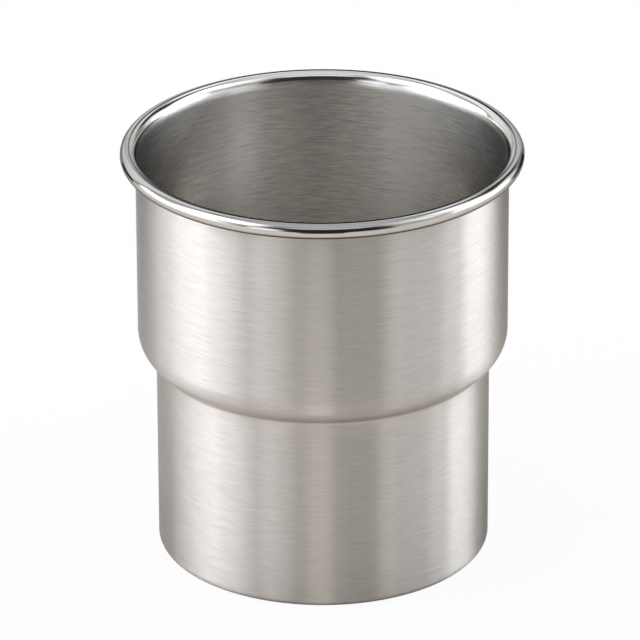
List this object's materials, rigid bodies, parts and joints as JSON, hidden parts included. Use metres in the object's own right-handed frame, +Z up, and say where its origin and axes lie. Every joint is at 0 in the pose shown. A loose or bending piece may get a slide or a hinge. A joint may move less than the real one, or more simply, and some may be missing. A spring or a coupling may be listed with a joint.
{
  "type": "deep drawn metal cup",
  "caption": "Open steel cup drawn from one sheet, with a narrower lower body, a rounded shoulder and a rolled, polished rim; it holds liquids or small items and stacks in its own kind.",
  "frame": {"origin": "centre of the base, on the plane the cup stands on", "axes": "+Z up along the cup's axis of revolution, out of its mouth; X and Y are free, since the cup is round"},
  "size_m": [0.09, 0.09, 0.0965],
  "materials": {
    "steel": "brushed around the axis, with a polished bead"
  },
  "bodies": {
    "root": {"cup": "steel"}
  },
  "joints": []
}
